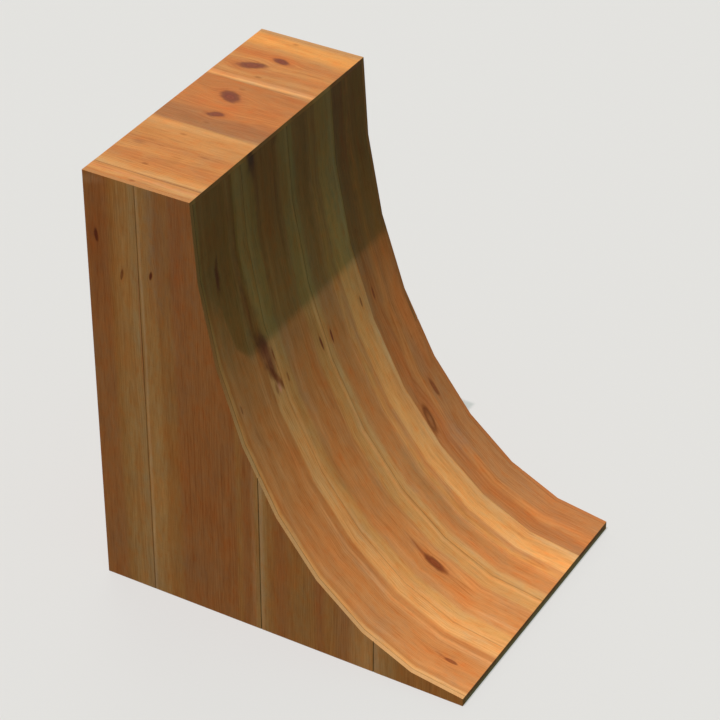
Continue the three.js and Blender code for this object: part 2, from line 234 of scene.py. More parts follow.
def spruce(name, upright):
    """Sawn timber whose grain runs upright or across the ramp."""
    material, tree = blank(name)
    x, y, z = tree.node("TexCoord", {}, {}, "Object").parts()
    along, side_way = (z, x) if upright else (x, z)
    wander = figure(side_way * 5.0, along * 1.3, y * 5.0) - 0.5
    aside, behind = side_way - SPRUCE_HEART[0], y - SPRUCE_HEART[1]
    from_heart = (aside ** 2 + behind ** 2) ** 0.5 + wander * SPRUCE_RING_WANDER
    ring = tree.math("FRACT", from_heart / SPRUCE_RING_PITCH)
    late = ring.rise(0.4, 0.9) * (1 - ring.rise(0.92, 1.0))
    fibre = figure(side_way * 420.0, along * 8.0, y * 420.0)
    knots = figure(side_way * 9.0, along * 4.0, y * 9.0, 0.0).rise(0.74, 0.79)
    saw = tree.math("SINE", (along + wander * SAW_MARK_WANDER) * (2 * math.pi / SAW_MARK_PITCH))
    wood = tree.node("ValToRGB", {"stops": [(0.3, SPRUCE_LATE), (0.6, SPRUCE)]}, {0: fibre * 0.6 + 0.25})
    wood = wood.mix(SPRUCE_LATE, late * 0.6).mix(SPRUCE_KNOT, knots * 0.85)
    coat(tree, wood, 0.7 + fibre * 0.12 - knots * 0.1, fibre + saw * 0.25 - late * 0.3, SAWN_RELIEF)
    return material


SAWN_ARRIS = 2 * MM
CROSSWISE_SPRUCE = spruce("spruce_crosswise", upright=False)
UPRIGHT_SPRUCE = spruce("spruce_upright", upright=True)
FRAME_WORDS = ("joist", "tie", "rail", "sill", "header")
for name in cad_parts:
    if "_post_" in name:
        dress(name, UPRIGHT_SPRUCE, SAWN_ARRIS)
    elif any(word in name for word in FRAME_WORDS):
        dress(name, CROSSWISE_SPRUCE, SAWN_ARRIS)


# Coach screws
# 8 mm zinc-plated steel, each with a washer, driven through a post into its rib. Their heads
# show on the inside of the posts, slightly marked by the spanner.

ZINC = srgb(178, 180, 182)
ZINC_DULL = srgb(122, 124, 128)
ZINC_YELLOW = srgb(190, 176, 138)
ZINC_RELIEF = 0.05 * MM
ZINC_SPECULAR = 0.5
SCREW_ARRIS = 0.35 * MM


def zinc():
    material, tree = blank("zinc_steel")
    x, y, z = tree.node("TexCoord", {}, {}, "Object").parts()
    bloom = figure(x * 140.0, y * 140.0, z * 140.0, 3.0)
    rub = figure(x * 900.0, y * 900.0, z * 900.0)
    steel = tree.node("ValToRGB", {"stops": [(0.35, ZINC_DULL), (0.6, ZINC)]}, {0: bloom})
    steel = steel.mix(ZINC_YELLOW, rub.rise(0.5, 0.7) * 0.3)
    coat(tree, steel, 0.28 + bloom * 0.3, rub, ZINC_RELIEF, ZINC_SPECULAR, metallic=1.0)
    return material


ZINC_STEEL = zinc()
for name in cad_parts:
    if "_coach_screw_" in name:
        dress(name, ZINC_STEEL, SCREW_ARRIS)


# Back boards
# Four wide pine boards, 12 mm thick, stand upright between the side boards. They are tongued
# and grooved with a V at each joint, and nailed to the back posts and rails.

BACK_Y = cad_high.y
LEFT_X = cad_low.x
TOP_Z = cad_high.z

# Tones of oiled pine, from the pale sapwood to the heart
SAPWOOD = srgb(240, 172, 101)
STRAW = srgb(228, 157, 88)
HONEY = srgb(216, 147, 87)
AMBER = srgb(205, 138, 80)
RUST = srgb(196, 123, 68)
ROSE = srgb(169, 110, 62)

# What the figure of the wood makes of a tone, as shares of its red, green and blue
LATEWOOD = (0.72, 0.54, 0.38, 1.0)
EARLYWOOD = (1.14, 1.26, 1.42, 1.0)
RUDDY = (1.06, 0.86, 0.68, 1.0)
HAZE = (0.90, 0.99, 1.18, 1.0)
GLOW = (0.93, 0.74, 0.66, 1.0)
SOOT = (0.40, 0.42, 0.38, 1.0)
SAWN = (0.72, 0.62, 0.55, 1.0)
KNOT_HEART = srgb(114, 42, 16)
KNOT_DARK = srgb(80, 34, 14)

# How far the grain strays from straight, where the heart of the tree lay, and how fine the rest is
GRAIN_WANDER = 28 * MM
GRAIN_RIPPLE = 7 * MM
HEART_OFF_CENTRE = 0.22
HEART_DEPTH = 55 * MM
HEART_DEPTH_SPREAD = 20 * MM
HEART_DEPTH_WANDER = 60 * MM
PINE_RING_PITCH = 6.5 * MM
PINE_RELIEF = 0.25 * MM
KNOT_RINGS = 17.0
JOINT_LINE_CORE = 0.8 * MM
JOINT_LINE_REACH = 3.5 * MM
SAWN_END_CONTRAST = 0.4


def knot(across, along, width, length, lean=0.0, strength=0.8, kind="sound"):
    """A knot by its middle and its whole width and length, in mm, and its lean in degrees."""
    return {
        "middle": (across * MM, along * MM, 0.0), "size": (width / 2 * MM, length / 2 * MM, 1.0),
        "lean": math.radians(lean), "strength": strength, "kind": kind,
    }


def pine(name, span, joints, tones, marks, seed, cut=None):
    """Oiled pine between two edges of a board.

    joints says how dark the joint at each edge is, tones are stops of colour across the face, and
    marks are knots, stains and patches of painted shade and painted light. cut is None on a face, and on a
    sawn end says how much darker it is.
    """
    start, end = span
    contrast = 1.0 if cut is None else SAWN_END_CONTRAST
    material, tree = blank(name)
    across, along, through = tree.node("Attribute", {"attribute_name": "grain"}, {}, "Vector").parts()
    depth = through + seed

    # Figures by their waves per metre across the grain, along it and into the wood
    ragged = figure(across * 55.0, along * 22.0, depth * 55.0) - 0.5
    wander = figure(across * 1.6, along * 0.8, depth, 1.0) - 0.5
    ripple = figure(across * 10.0, along * 2.4, depth * 10.0, 1.0) - 0.5
    grain = across + wander * GRAIN_WANDER + ripple * GRAIN_RIPPLE

    # How far off each mark is, in its own half sizes. The grain bends round the knots.
    place = tree.node("CombineXYZ", {}, {0: across, 1: along})
    spots = []
    for mark in marks:
        local = tree.node("Mapping", {"vector_type": "TEXTURE"}, {
            "Vector": place, "Location": mark["middle"], "Rotation": (0.0, 0.0, mark["lean"]),
            "Scale": mark["size"],
        })
        reach = tree.node("VectorMath", {"operation": "LENGTH"}, {0: local}, "Value")
        spots.append((mark, reach + ragged * 0.6))
        if mark["kind"] in ("sound", "open"):
            bend = 1 / (1 + (reach * 0.45) ** 4)
            grain = grain - local.parts()[0] * bend * (mark["size"][0] * 0.8)

    stops = [((at - start) / (end - start), colour) for at, colour in tones]
    wood = tree.node("ValToRGB", {"stops": stops, "easing": "EASE"}, {0: (grain - start) / (end - start)})

    cloud = figure(grain * 8.0, along * 2.0, depth * 8.0)
    patch = figure(grain * 16.0 + 9.0, along * 7.0, depth * 16.0)
    streak = figure(grain * 42.0, along * 4.0, depth * 42.0, 3.0, 0.6)
    stripe = figure(grain * 150.0, along * 7.0, depth * 150.0, 2.0, 0.6)
    fibre = figure(grain * 480.0, along * 14.0, depth * 480.0, 2.0, 0.6)
    fleck = figure(grain * 1500.0, along * 70.0, depth * 1500.0, 0.0).rise(0.68, 0.78)
    heart_across = (start + end) / 2 + HEART_OFF_CENTRE * (end - start) * math.sin(7 * seed)
    below_face = HEART_DEPTH + HEART_DEPTH_SPREAD * math.cos(5 * seed)
    heart_depth = through + below_face + wander * HEART_DEPTH_WANDER
    from_heart = ((grain - heart_across) ** 2 + heart_depth ** 2) ** 0.5
    ring = tree.math("FRACT", from_heart / PINE_RING_PITCH + ragged * 0.25)
    late = ring.rise(0.35, 0.88) * (1 - ring.rise(0.9, 1.0))

    # Tints, from the broadest clouds down to the fibres and flecks
    for tint, share in (
        (RUDDY, cloud.rise(0.48, 0.75) * 0.55), (HAZE, (1 - cloud.rise(0.3, 0.5)) * 0.55),
        (RUDDY, patch.rise(0.5, 0.7) * 0.45), (HAZE, (1 - patch.rise(0.35, 0.5)) * 0.45),
        (RUDDY, ragged.rise(0.02, 0.2) * 0.5), (HAZE, (1 - ragged.rise(-0.2, -0.02)) * 0.45),
        (LATEWOOD, streak.rise(0.5, 0.75) * 0.38), (EARLYWOOD, (1 - streak.rise(0.25, 0.5)) * 0.4),
        (LATEWOOD, late * (0.08 + streak * 0.25)), (EARLYWOOD, (1 - ring.rise(0.0, 0.6)) * 0.2),
        (LATEWOOD, stripe.rise(0.5, 0.75) * 0.37), (EARLYWOOD, (1 - stripe.rise(0.3, 0.5)) * 0.32),
        (LATEWOOD, fibre.rise(0.45, 0.7) * 0.3), (LATEWOOD, fleck * 0.5),
    ):
        wood = wood.mix(tint, share * contrast, "MULTIPLY")
    relief = fibre * 0.5 - late * 0.3 - fleck * 0.5
    roughness = 0.56 + fibre * 0.12 - late * 0.05

    # A stain tints the wood, as do patches of painted shade and painted light.
    # A knot has a glow about it, a dark rim and, if it is sound, a heart.
    for mark, reach in spots:
        strength = mark["strength"]
        if mark["kind"] not in ("sound", "open"):
            wood = wood.mix(mark["kind"], (1 - reach.rise(0.2, 1.2)) * strength, "MULTIPLY")
            continue
        heart = 1 - reach.rise(0.45, 1.25)
        rim = reach.rise(0.3, 0.8) * (1 - reach.rise(0.8, 1.35))
        wood = wood.mix(GLOW, (1 - reach.rise(0.8, 2.2)) * (0.7 * strength), "MULTIPLY")
        if mark["kind"] == "sound":
            whorl = tree.math("SINE", reach * KNOT_RINGS) * 0.06 + 0.94
            wood = wood.mix(KNOT_HEART, heart * whorl * strength)
        wood = wood.mix(KNOT_DARK, rim * ((0.5 if mark["kind"] == "sound" else 0.8) * strength))
        relief = relief + heart * 0.4 - rim * 0.4
        roughness = roughness - heart * 0.08

    for edge, darkness in zip(span, joints):
        if darkness:
            near = 1 - abs(across - edge).rise(JOINT_LINE_CORE, JOINT_LINE_REACH)
            wood = wood.mix(SOOT, near * darkness, "MULTIPLY")
    if cut:
        wood = wood.mix(SAWN, cut, "MULTIPLY")
    coat(tree, wood, roughness, relief, PINE_RELIEF)
    return material


ROUNDING_STEPS = 3


def eased(outline):
    """An outline of (across, depth, radius) corners with each corner that has a radius made round."""
    points = []
    for i, (across, depth, radius) in enumerate(outline):
        corner = Vector((across, depth))
        if not radius:
            points.append(tuple(corner))
            continue
        before = Vector(outline[i - 1][:2]) - corner
        after = Vector(outline[(i + 1) % len(outline)][:2]) - corner
        near = corner + before.normalized() * radius
        far = corner + after.normalized() * radius
        for step in range(ROUNDING_STEPS + 1):
            t = step / ROUNDING_STEPS
            points.append(tuple(near * (1 - t) ** 2 + corner * 2 * t * (1 - t) + far * t ** 2))
    return points


# Roundings: of an outer edge, of a tongue or bevel, and the most of a bevel that one may take
EDGE_RADIUS = 1.2 * MM
SOFT_RADIUS = 0.5 * MM
BEVEL_SHARE = 0.6
TONGUE_PLAY = 0.3 * MM


def board_outline(span, thickness, tongue, bevels):
    """A board's end view, with the groove, the tongue and the bevels of its joints.

    tongue is its length and thickness. bevels has one number for each edge, or None where the
    board meets no other.
    """
    start, end = span
    length, width = tongue
    high, low = (thickness - width) / 2, (thickness + width) / 2
    outline = []
    if bevels[1] is None:
        outline += [(end, 0.0, EDGE_RADIUS), (end, thickness, SOFT_RADIUS)]
    else:
        radius = min(SOFT_RADIUS, BEVEL_SHARE * bevels[1])
        outline += [(end - bevels[1], 0.0, radius), (end, bevels[1], radius), (end, high, 0.0)]
        outline += [(end + length, high, SOFT_RADIUS), (end + length, low, SOFT_RADIUS)]
        outline += [(end, low, 0.0), (end, thickness, 0.0)]
    if bevels[0] is None:
        outline += [(start, thickness, SOFT_RADIUS), (start, 0.0, EDGE_RADIUS)]
    else:
        high, low = high - TONGUE_PLAY, low + TONGUE_PLAY
        outline += [(start, thickness, 0.0), (start, low, 0.0), (start + length, low, 0.0)]
        outline += [(start + length, high, 0.0), (start, high, 0.0)]
        radius = min(SOFT_RADIUS, BEVEL_SHARE * bevels[0])
        outline += [(start, bevels[0], radius), (start + bevels[0], 0.0, radius)]
    return eased(outline)


# Edges that fold less than the one are shaded smooth, and ones shorter than the other are closed up
SMOOTH_UP_TO = math.radians(35)
WELD = 0.002 * MM


def plank(name, outline, stations, place, measure, folds=()):
    """A board: its end view is placed at each station, joined up and closed at both ends.

    place gives the point for a corner of the end view at a station, and measure the place in the
    grain of a point. folds are pairs of corners between which the far end is creased.
    """
    mesh = bmesh.new()
    rings = [[mesh.verts.new(place(*corner, station)) for corner in outline] for station in stations]
    count = len(outline)
    for near, far in zip(rings, rings[1:]):
        for i in range(count):
            j = (i + 1) % count
            mesh.faces.new((near[i], near[j], far[j], far[i]))
    ends = [mesh.faces.new(rings[0][::-1]), mesh.faces.new(rings[-1])]
    for a, b in folds:
        corners = rings[-1][a], rings[-1][b]
        whole = next(face for face in ends if corners[0] in face.verts and corners[1] in face.verts)
        ends.append(bmesh.utils.face_split(whole, *corners)[0])
    for face in ends:
        face.material_index = 1
    bmesh.ops.recalc_face_normals(mesh, faces=mesh.faces)

    # The sawn ends are eased along both broad faces, and not in the joints
    thickness = max(depth for _, depth in outline)
    shoulder = max(depth for _, depth in outline if depth < thickness / 4)
    outer = {i for i, (_, depth) in enumerate(outline) if depth <= shoulder or depth == thickness}
    rims = []
    for ring in (rings[0], rings[-1]):
        for i in range(count):
            j = (i + 1) % count
            if i in outer and j in outer:
                rims.append(mesh.edges.get((ring[i], ring[j])))
    was_flat = mesh.faces.layers.int.new("flat before bevel")
    for face in mesh.faces:
        face[was_flat] = 1
    rounded = bmesh.ops.bevel(
        mesh, geom=rims, offset=EDGE_RADIUS, segments=2, profile=0.5, affect="EDGES", clamp_overlap=True,
    )["faces"]
    for face in rounded:
        face[was_flat] = 0
    bmesh.ops.dissolve_degenerate(mesh, dist=WELD, edges=mesh.edges)

    for face in mesh.faces:
        face.smooth = True
    for edge in mesh.edges:
        one, other = edge.link_faces
        square = one.material_index != other.material_index and one[was_flat] and other[was_flat]
        edge.smooth = not square and edge.calc_face_angle() < SMOOTH_UP_TO
    mesh.faces.layers.int.remove(was_flat)

    data = bpy.data.meshes.new(name)
    mesh.to_mesh(data)
    mesh.free()
    grain = data.attributes.new("grain", "FLOAT_VECTOR", "POINT")
    for vertex, value in zip(data.vertices, grain.data):
        value.vector = measure(vertex.co)
    piece = bpy.data.objects.new(name, data)
    bpy.context.scene.collection.objects.link(piece)
    piece.modifiers.new("even shading", "WEIGHTED_NORMAL").keep_sharp = True
    return piece


def fit(piece, node, materials):
    """Puts a board in the place of its node, with its finishes."""
    for material in materials:
        piece.data.materials.append(material)
    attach(piece, "root")
    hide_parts(node)


BOARDS_IN_A_ROW = 4
BACK_THICKNESS = 12 * MM
BACK_TONGUE = (6 * MM, 4 * MM)

# Widths of bevels and darkness of joint lines, at the row's first edge, its joints and its last edge
BACK_BEVELS = (None, 3 * MM, 3 * MM, 3 * MM, None)
BACK_JOINTS = (0.0, 0.5, 0.5, 0.5, 0.0)

# How dark the sawn ends are
BACK_END = 0.8
BACK_TONES = [
    [(0.02, AMBER), (0.10, RUST), (0.19, HONEY), (0.26, SAPWOOD), (0.30, STRAW)],
    [(0.31, STRAW), (0.36, HONEY), (0.45, RUST), (0.56, AMBER), (0.60, SAPWOOD)],
    [(0.61, SAPWOOD), (0.65, HONEY), (0.74, AMBER), (0.84, HONEY), (0.91, STRAW)],
    [(0.92, HONEY), (0.99, ROSE), (1.08, RUST), (1.15, AMBER), (1.20, STRAW)],
]
BACK_KNOTS = [
    [knot(96, 420, 30, 44, 12), knot(212, 1210, 16, 24, -8, 0.6)],
    [knot(402, 830, 40, 58, -14), knot(520, 1555, 18, 30, 6, 0.7)],
    [knot(700, 300, 18, 26, 4, 0.6), knot(822, 1130, 36, 62, 10)],
    [knot(1034, 655, 44, 72, -9), knot(1130, 1440, 22, 34, 8, 0.7)],
]
BACK_SEED = 3.0


def board_span(start, end, i, tongue):
    """The edges of a board, less the tongue that each board of a row but its last one has."""
    return (start, end - (i < BOARDS_IN_A_ROW - 1) * tongue[0])


def place_back(across, depth, height):
    return (LEFT_X + across, BACK_Y - depth, height)


def measure_back(point):
    return (point.x - LEFT_X, TOP_Z - point.z, BACK_Y - point.y)


for i in range(BOARDS_IN_A_ROW):
    node = f"back_board_{i + 1}"
    low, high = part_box(node)
    span = board_span(low.x - LEFT_X, high.x - LEFT_X, i, BACK_TONGUE)
    outline = board_outline(span, BACK_THICKNESS, BACK_TONGUE, BACK_BEVELS[i:i + 2])
    piece = plank(f"back_plank_{i + 1}", outline, (low.z, high.z), place_back, measure_back)
    seed = BACK_SEED + i
    finishes = [
        pine(f"back_pine_{i + 1}{part}", span, BACK_JOINTS[i:i + 2], BACK_TONES[i], BACK_KNOTS[i], seed, cut)
        for part, cut in (("", None), ("_end", BACK_END))
    ]
    fit(piece, node, finishes)


# Running boards
# Four pine boards, 18 mm thick, run down the curve from under the deck to the lip. Saw kerfs let
# them fold over the joists, so that the riding face is eight flats. The kerfs are on the closed
# underside and aren't drawn here.

BASE_LENGTH = cad_high.y - cad_low.y
DECK_DEPTH = 455 * MM
LIP_HEIGHT = 35 * MM
CREST_ABOVE_DECK = 24 * MM
FLATS = 8


def face_corners():
    """The riding face from the side, as (distance from the back, height) at the deck, folds and lip.

    The folds lie on a quarter ellipse whose crest would be a little above the deck.
    """
    run = BASE_LENGTH - DECK_DEPTH
    rise = TOP_Z + CREST_ABOVE_DECK - LIP_HEIGHT
    corners = [Vector((DECK_DEPTH, TOP_Z))]
    for i in range(1, FLATS + 1):
        turn = math.pi / 2 * i / FLATS
        from_back = DECK_DEPTH + run * (1 - math.cos(turn))
        corners.append(Vector((from_back, LIP_HEIGHT + rise * (1 - math.sin(turn)))))
    return corners


CORNERS = face_corners()
SLOPES = [(far - near).normalized() for near, far in zip(CORNERS, CORNERS[1:])]
INWARD = [Vector((slope.y, -slope.x)) for slope in SLOPES]
FOLD_PLACES = [0.0]
for near, far in zip(CORNERS, CORNERS[1:]):
    FOLD_PLACES.append(FOLD_PLACES[-1] + (far - near).length)
UNDER_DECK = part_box("running_board_1")[1].z


def inside_face(depth, station):
    """The point that lies a depth inside the riding face, at its top end, a fold or the lip."""
    if station == 0:
        start = CORNERS[0] + INWARD[0] * depth
        return start + SLOPES[0] * ((UNDER_DECK - start.y) / SLOPES[0].y)
    if station == FLATS:
        end = CORNERS[-1] + INWARD[-1] * depth
        return end + SLOPES[-1] * ((BASE_LENGTH - end.x) / SLOPES[-1].x)
    before, after = INWARD[station - 1], INWARD[station]
    return CORNERS[station] + (before + after) * (depth / (1 + before.dot(after)))


def place_running(across, depth, station):
    point = inside_face(depth, station)
    return (LEFT_X + across, BACK_Y - point.x, point.y)


def measure_running(point):
    """How far across, how far down the curve from the deck's edge, and how deep a point is."""
    from_back = Vector((BACK_Y - point.y, point.z))
    best = None
    for i, slope in enumerate(SLOPES):
        offset = from_back - CORNERS[i]
        length = FOLD_PLACES[i + 1] - FOLD_PLACES[i]
        down = offset.dot(slope)
        beyond = max(-down, down - length, 0.0)
        if best is None or beyond < best[0]:
            best = (beyond, FOLD_PLACES[i] + down, offset.dot(INWARD[i]))
    return (point.x - LEFT_X, best[1], best[2])


RUNNING_THICKNESS = 18 * MM
RUNNING_TONGUE = (7 * MM, 6 * MM)
RUNNING_BEVELS = (None, 0.8 * MM, 0.8 * MM, 0.8 * MM, None)
RUNNING_JOINTS = (0.7, 0.3, 0.35, 0.0, 0.3)
RUNNING_END = 1.0
RUNNING_SEED = 11.0
BUFF = srgb(229, 174, 114)
FLAX = srgb(232, 168, 101)
OAT = srgb(214, 160, 98)
WHEAT = srgb(213, 153, 88)
TOFFEE = srgb(206, 135, 75)
RUSSET = srgb(190, 123, 70)
UMBER = srgb(187, 127, 76)
RUNNING_TONES = [
    [(0.018, FLAX), (0.028, FLAX), (0.042, TOFFEE), (0.060, HONEY), (0.096, AMBER), (0.190, TOFFEE),
     (0.226, HONEY), (0.240, TOFFEE), (0.256, TOFFEE), (0.274, FLAX), (0.305, FLAX), (0.333, STRAW)],
    [(0.333, FLAX), (0.345, FLAX), (0.370, WHEAT), (0.390, WHEAT), (0.415, AMBER), (0.440, HONEY),
     (0.460, TOFFEE), (0.520, TOFFEE), (0.565, AMBER), (0.585, WHEAT), (0.622, WHEAT), (0.638, FLAX),
     (0.652, WHEAT)],
    [(0.652, WHEAT), (0.668, OAT), (0.700, AMBER), (0.745, AMBER), (0.765, AMBER), (0.785, HONEY),
     (0.805, STRAW), (0.838, HONEY), (0.856, SAPWOOD), (0.890, SAPWOOD), (0.925, FLAX), (0.958, BUFF),
     (0.972, WHEAT)],
    [(0.972, UMBER), (1.000, RUSSET), (1.020, RUST), (1.040, RUST), (1.062, TOFFEE), (1.085, TOFFEE),
     (1.108, UMBER), (1.150, UMBER), (1.201, UMBER)],
]


def stain(across, along, width, length, tint, strength, lean=0.0):
    """A soft patch in which the wood has another tint."""
    return knot(across, along, width, length, lean, strength, tint)


# Tints of stains and of painted shade and light, as shares of the wood's red, green and blue
OLIVE_STAIN = (0.80, 0.88, 0.90, 1.0)
RED_STAIN = (1.02, 0.86, 0.76, 1.0)
PLUM_STAIN = (0.34, 0.17, 0.24, 1.0)
BURNT_STAIN = (0.42, 0.22, 0.14, 1.0)
SMUDGE_STAIN = (0.20, 0.17, 0.17, 1.0)
HEART_STAIN = (0.45, 0.27, 0.20, 1.0)
TOBACCO_STAIN = (0.72, 0.58, 0.50, 1.0)
BLUSH_STAIN = (1.20, 1.00, 1.50, 1.0)
# Painted shade: a cool dark tint at the top of the last running board, in the deck's shadow
PAINTED_SHADE_MOSS = (0.73, 0.78, 0.70, 1.0)
PITCH_STAIN = (0.66, 0.55, 0.42, 1.0)
MAUVE_STAIN = (0.90, 0.92, 1.08, 1.0)
# A lighter tint: the wood's own paler patches, and painted light over the lower riding face, where the ramp
# lies flat
LIGHTER_TONE_AND_PAINTED_LIGHT = (1.14, 1.14, 1.12, 1.0)
EMBER_STAIN = (1.30, 1.08, 0.92, 1.0)
# Painted shade: less blue at the top of the last running board, in the deck's shadow
PAINTED_SHADE_TAWNY = (1.00, 0.98, 0.80, 1.0)
# A duller tint: the wood's own darker patches lower down and on the deck, and painted shade in patches at the
# top of the riding face
DULLER_TONE_AND_PAINTED_SHADE = (0.84, 0.82, 0.76, 1.0)
# Painted shade: darkens the whole top of the riding face, in the deck's shadow
PAINTED_SHADE_TINT = (0.74, 0.75, 0.73, 1.0)
# Painted shade: a browner dark tint in long patches at the top of the riding face
PAINTED_SHADE_BROWN = (0.90, 0.87, 0.68, 1.0)

# Painted shade darkens the riding face under the deck's edge, and painted light brightens it where the ramp
# runs out flat
PAINTED_SHADE_UNDER_THE_EDGE = stain(610, 0, 4000, 1300, PAINTED_SHADE_TINT, 1.0)
PAINTED_LIGHT_WHERE_IT_LIES_FLAT = stain(610, 2328, 4000, 3600, LIGHTER_TONE_AND_PAINTED_LIGHT, 0.9)

# Board by board, by their place across the face and down it from the deck's edge
# The long brown, dun, moss and tawny tints near the top of each board are painted shade in the deck's shadow
RUNNING_KNOTS = [
    [
        stain(117, 365, 32, 170, HEART_STAIN, 1.0, 8), stain(145, 250, 280, 900, PAINTED_SHADE_BROWN, 1.0),
        stain(262, 250, 36, 900, DULLER_TONE_AND_PAINTED_SHADE, 1.0), stain(24, 250, 24, 1300, DULLER_TONE_AND_PAINTED_SHADE, 1.0),
        stain(204, 250, 44, 1000, PAINTED_SHADE_BROWN, 0.6), stain(262, 250, 40, 900, PAINTED_SHADE_BROWN, 0.9),
        stain(50, 1950, 50, 900, DULLER_TONE_AND_PAINTED_SHADE, 0.4), stain(271, 645, 88, 470, TOBACCO_STAIN, 1.0, -6),
        knot(144, 2195, 16, 54, 0, 0.7), stain(150, 2150, 14, 70, PLUM_STAIN, 0.3, 8),
        stain(284, 735, 84, 120, PLUM_STAIN, 0.65, -8), stain(292, 795, 90, 190, PLUM_STAIN, 0.75, -8),
        stain(289, 858, 60, 120, BURNT_STAIN, 0.7, -14), stain(306, 897, 40, 140, BURNT_STAIN, 0.85, -24),
        stain(288, 936, 20, 66, BURNT_STAIN, 0.6), stain(327, 936, 22, 66, BURNT_STAIN, 0.6, -10),
        stain(306, 938, 22, 56, BLUSH_STAIN, 0.9), stain(328, 812, 12, 60, BURNT_STAIN, 0.7),
        stain(350, 917, 34, 70, MAUVE_STAIN, 0.6), knot(62, 895, 8, 34, 0, 0.5),
        stain(228, 1900, 22, 1200, LIGHTER_TONE_AND_PAINTED_LIGHT, 0.7), stain(148, 1350, 60, 900, LIGHTER_TONE_AND_PAINTED_LIGHT, 0.9),
        stain(150, 1500, 160, 500, RED_STAIN, 0.35), stain(90, 640, 90, 300, OLIVE_STAIN, 0.4),
        PAINTED_SHADE_UNDER_THE_EDGE, PAINTED_LIGHT_WHERE_IT_LIES_FLAT,
    ],
    [
        stain(402, 20, 64, 190, SMUDGE_STAIN, 1.0), stain(562, 0, 50, 110, PITCH_STAIN, 1.0),
        stain(480, 150, 260, 900, PAINTED_SHADE_BROWN, 0.65), stain(546, 250, 40, 900, DULLER_TONE_AND_PAINTED_SHADE, 0.9),
        stain(420, 250, 46, 1000, DULLER_TONE_AND_PAINTED_SHADE, 0.9), stain(546, 250, 40, 900, PAINTED_SHADE_BROWN, 0.5),
        knot(618, 927, 11, 58, -3, 0.95), knot(370, 930, 9, 40, 0, 0.5),
        knot(510, 1905, 38, 108, 0, 0.82), stain(505, 1815, 24, 130, PLUM_STAIN, 0.4),
        stain(500, 2030, 9, 150, LATEWOOD, 0.5, 3), stain(517, 2040, 9, 170, LATEWOOD, 0.5, -3),
        stain(415, 1400, 80, 500, OLIVE_STAIN, 0.5), stain(560, 1600, 90, 300, OLIVE_STAIN, 0.4),
        stain(385, 2100, 80, 900, LIGHTER_TONE_AND_PAINTED_LIGHT, 0.7), stain(545, 2000, 70, 700, LIGHTER_TONE_AND_PAINTED_LIGHT, 0.9),
        stain(440, 2230, 150, 500, LIGHTER_TONE_AND_PAINTED_LIGHT, 0.6), stain(645, 1950, 60, 900, DULLER_TONE_AND_PAINTED_SHADE, 0.6),
        stain(470, 40, 260, 420, DULLER_TONE_AND_PAINTED_SHADE, 0.7), PAINTED_SHADE_UNDER_THE_EDGE, PAINTED_LIGHT_WHERE_IT_LIES_FLAT,
    ],
    [
        stain(725, 200, 150, 1000, PAINTED_SHADE_BROWN, 0.9), stain(752, 200, 60, 1000, DULLER_TONE_AND_PAINTED_SHADE, 0.7),
        stain(850, 150, 240, 900, DULLER_TONE_AND_PAINTED_SHADE, 0.9), knot(690, 933, 11, 56, 0, 0.95),
        knot(925, 915, 10, 44, 0, 0.6),
        stain(757, 1950, 70, 800, DULLER_TONE_AND_PAINTED_SHADE, 0.6), stain(820, 1950, 62, 900, DULLER_TONE_AND_PAINTED_SHADE, 0.9),
        stain(930, 2000, 140, 900, DULLER_TONE_AND_PAINTED_SHADE, 0.7), stain(770, 1650, 110, 420, OLIVE_STAIN, 0.6),
        stain(820, 1150, 60, 260, OLIVE_STAIN, 0.5, 8), stain(720, 1980, 80, 300, RED_STAIN, 0.3),
        stain(850, 20, 300, 400, DULLER_TONE_AND_PAINTED_SHADE, 0.35), PAINTED_SHADE_UNDER_THE_EDGE, PAINTED_LIGHT_WHERE_IT_LIES_FLAT,
    ],
    [
        stain(1015, 250, 140, 1300, PAINTED_SHADE_MOSS, 1.0), stain(1160, 250, 190, 1400, PAINTED_SHADE_BROWN, 1.0),
        knot(1015, 925, 11, 50, 0, 0.6), knot(1118, 1418, 20, 84, 0, 0.65),
        knot(996, 1500, 38, 116, 9, 0.55, "open"), stain(997, 1508, 24, 80, HAZE, 1.0, 8),
        stain(1002, 1460, 32, 60, BURNT_STAIN, 0.35), stain(1011, 1500, 14, 90, BURNT_STAIN, 0.3, 8),
        stain(998, 1500, 60, 140, DULLER_TONE_AND_PAINTED_SHADE, 0.9, 9), stain(1120, 250, 240, 1400, DULLER_TONE_AND_PAINTED_SHADE, 0.4),
        stain(983, 1530, 16, 150, DULLER_TONE_AND_PAINTED_SHADE, 1.0, 4), stain(1010, 1590, 60, 120, RED_STAIN, 0.5),
        stain(1045, 1500, 60, 240, RED_STAIN, 0.6), stain(1020, 2050, 80, 1000, DULLER_TONE_AND_PAINTED_SHADE, 0.7),
        stain(1130, 1300, 90, 200, MAUVE_STAIN, 0.6), stain(1080, 1620, 110, 260, MAUVE_STAIN, 0.9),
        stain(1150, 1050, 110, 700, LIGHTER_TONE_AND_PAINTED_LIGHT, 0.6), stain(1110, 2150, 120, 260, RED_STAIN, 0.5),
        stain(1165, 880, 200, 900, EMBER_STAIN, 1.0), stain(1150, 200, 220, 1100, PAINTED_SHADE_TAWNY, 1.0),
        stain(1010, 20, 160, 400, DULLER_TONE_AND_PAINTED_SHADE, 0.4), PAINTED_SHADE_UNDER_THE_EDGE, PAINTED_LIGHT_WHERE_IT_LIES_FLAT,
    ],
]

